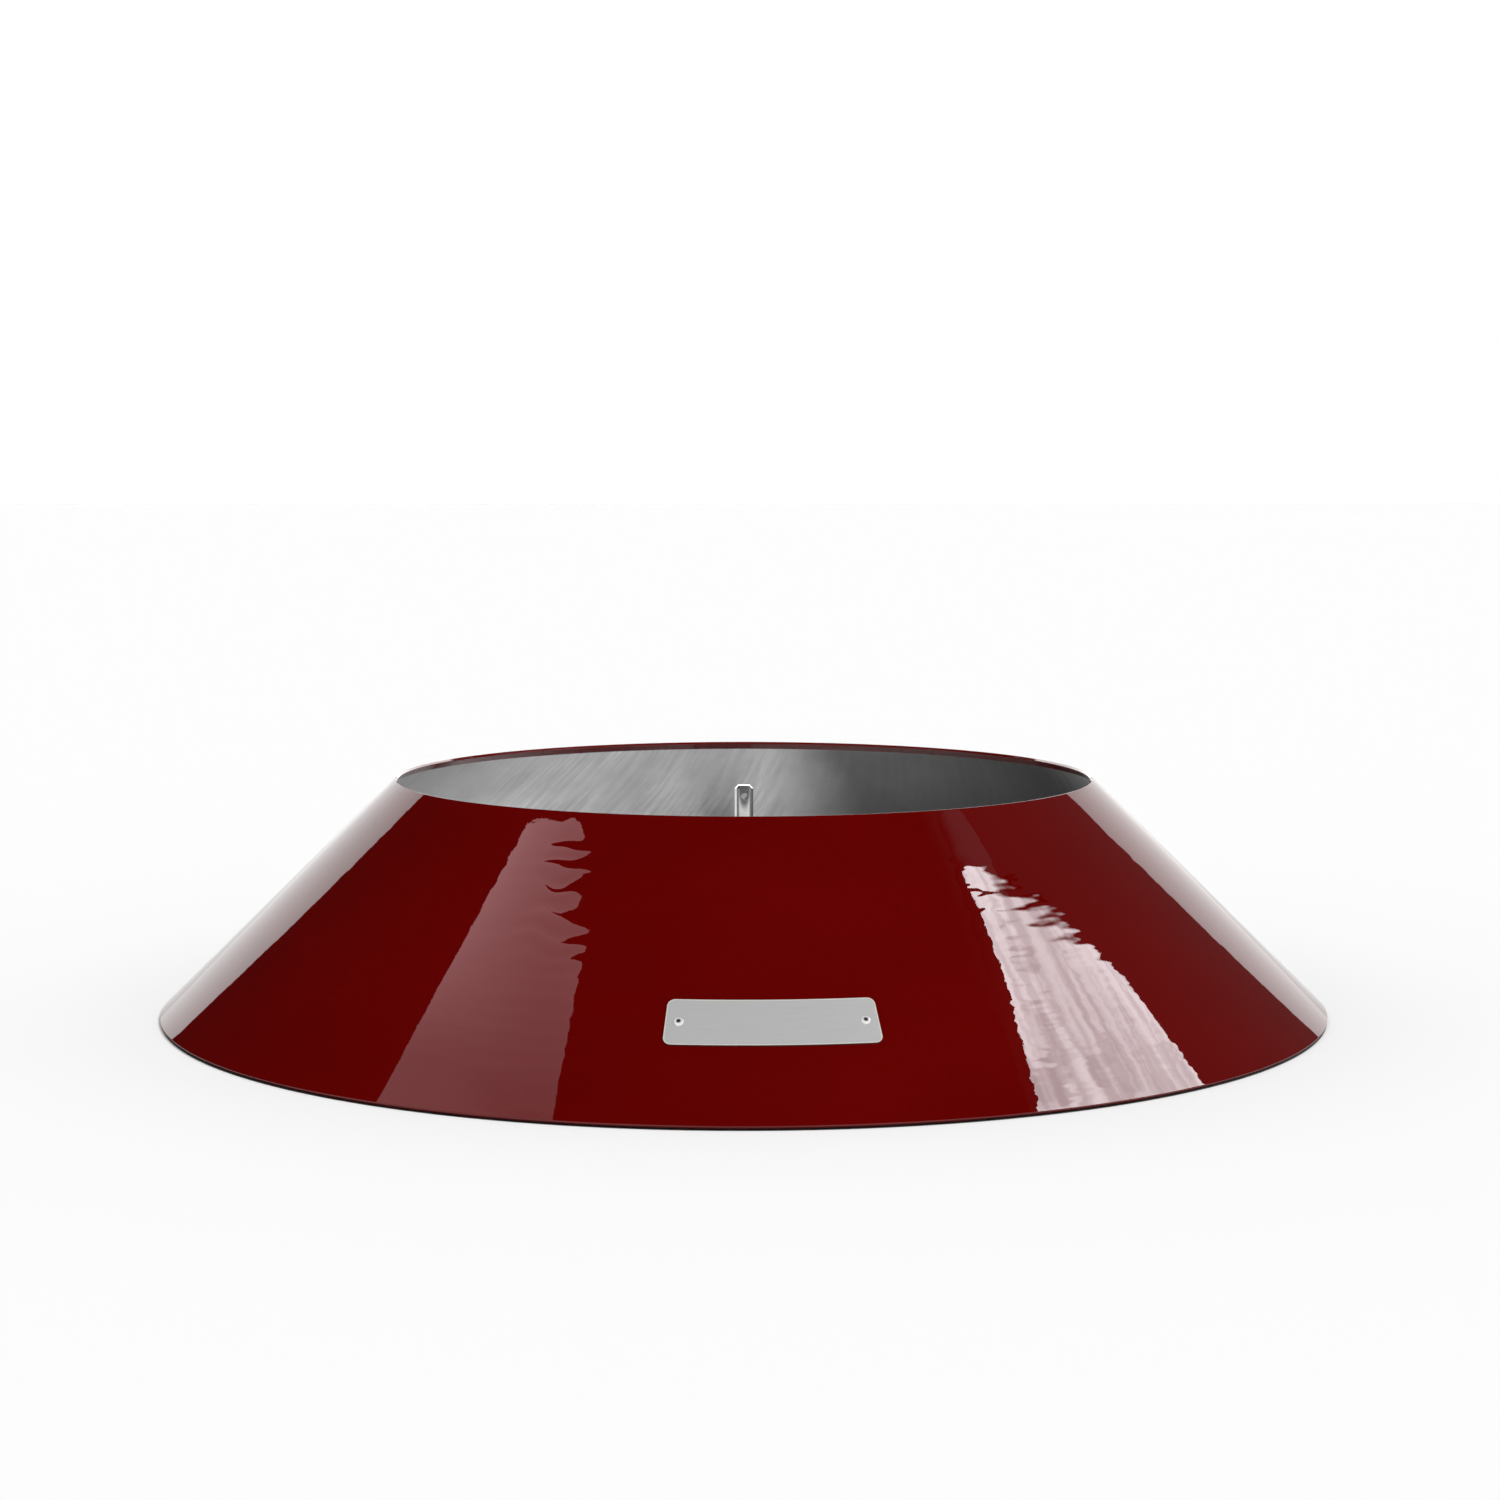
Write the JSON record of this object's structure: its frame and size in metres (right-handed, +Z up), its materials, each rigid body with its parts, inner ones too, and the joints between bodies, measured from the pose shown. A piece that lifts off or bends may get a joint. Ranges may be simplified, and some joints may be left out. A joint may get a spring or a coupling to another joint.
{
  "type": "conical fire bowl stand",
  "caption": "Low truncated-cone steel stand, open top and bottom, with a central locating pin on an inner brace and a bare riveted name plate.",
  "frame": {"origin": "centre of the footprint on the floor, on the axis of the cone", "axes": "+Z up along the cone's axis and the pin, -Y towards the name plate side, +X to the right seen from the front"},
  "size_m": [0.9996, 0.9996, 0.1989],
  "materials": {
    "wall_steel": "gloss lacquer outside, bare ground steel inside",
    "plate_metal": "satin, brushed lengthwise",
    "rivet_metal": "bright",
    "stem_steel": "broken, dull",
    "pin_steel": "turned and polished",
    "brace_steel": "mill finish",
    "zinc_hardware": "zinc plated",
    "foot_rubber": "matt"
  },
  "bodies": {
    "root": {"cone_shell": "wall_steel", "name_plate": "plate_metal", "rivet_left": "rivet_metal", "rivet_right": "rivet_metal", "mandrel_left": "stem_steel", "mandrel_right": "stem_steel", "centre_pin": "pin_steel", "pin_washer": "zinc_hardware", "pin_nut": "zinc_hardware", "hub_plate": "brace_steel", "base_ring": "brace_steel", "arm_front": "brace_steel", "bracket_front": "brace_steel", "arm_right": "brace_steel", "bracket_right": "brace_steel", "arm_rear": "brace_steel", "bracket_rear": "brace_steel", "arm_left": "brace_steel", "bracket_left": "brace_steel", "hub_bolts": "zinc_hardware", "hub_washers": "zinc_hardware", "hub_nuts": "zinc_hardware", "bracket_bolts": "zinc_hardware", "bracket_washers": "zinc_hardware", "bracket_nuts": "zinc_hardware", "foot_front_right": "foot_rubber", "foot_rear_right": "foot_rubber", "foot_rear_left": "foot_rubber", "foot_front_left": "foot_rubber", "foot_screws": "zinc_hardware", "foot_nuts": "zinc_hardware"}
  },
  "joints": []
}
